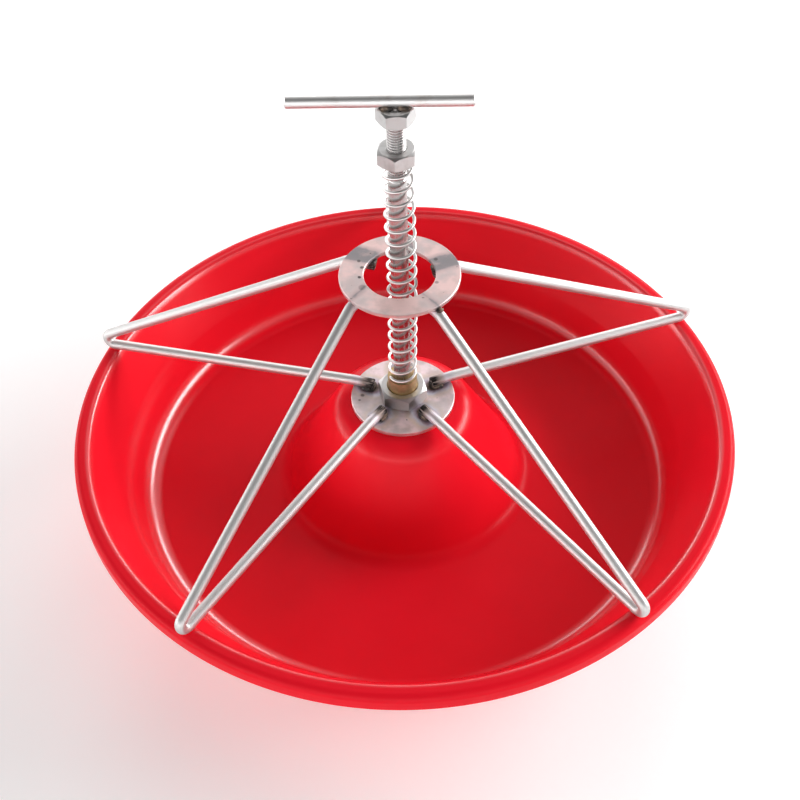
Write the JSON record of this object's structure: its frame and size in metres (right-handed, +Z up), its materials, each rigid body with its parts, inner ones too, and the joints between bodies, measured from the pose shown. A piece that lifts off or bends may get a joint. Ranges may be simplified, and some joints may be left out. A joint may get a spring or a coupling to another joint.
{
  "type": "pig feeder",
  "caption": "Round moulded trough with a domed middle, wire hairpin dividers under a ring, and a spring-loaded T-handle rod whose hook clamps the feeder to a slatted floor.",
  "frame": {"origin": "centre of the trough's foot ring, on the ground that it stands on", "axes": "+Z up along the rod, +X along the hook bar, to the right as seen from the front, +Y to the rear, along the rear divider arm"},
  "size_m": [0.32, 0.321, 0.25],
  "materials": {
    "red_plastic": "smooth moulded, glossy",
    "stainless_wire": "bright drawn stainless wire",
    "stainless_disc": "cold-rolled stainless sheet with heat tint at the welds",
    "brass": "turned",
    "nut_steel": "bright stainless",
    "spring_wire": "bright spring wire",
    "bright_bar": "bright drawn stainless bar",
    "weld_bead": "unground weld, burnt dark"
  },
  "bodies": {
    "trough": {"trough": "red_plastic", "arm_rear": "stainless_wire", "arm_rear_left": "stainless_wire", "arm_front_left": "stainless_wire", "arm_front_right": "stainless_wire", "arm_rear_right": "stainless_wire", "upper_ring": "stainless_disc", "base_plate": "stainless_disc", "guide_bush": "brass", "guide_nut": "nut_steel", "crown_washer": "nut_steel", "crown_nut": "nut_steel", "ring_welds": "weld_bead", "plate_welds": "weld_bead"},
    "spring": {"spring": "spring_wire"},
    "hook_rod": {"rod": "bright_bar", "adjusting_nut": "nut_steel", "handle_nut": "nut_steel", "handle_bar": "bright_bar", "handle_welds": "weld_bead", "hook_bar": "bright_bar", "hook_weld": "weld_bead"}
  },
  "joints": [
    {"name": "hook_press", "type": "slide", "parent": "trough", "child": "spring", "axis": [0, 0, -1], "range_m": [0, 0.086], "stiffness_N_per_m": 300, "springref_m": -0.025, "deforming": ["spring"]},
    {"name": "hook_turn", "type": "hinge", "parent": "spring", "child": "hook_rod", "pos_m": [0, 0, 0.0618], "axis": [0, 0, 1], "continuous": true}
  ]
}
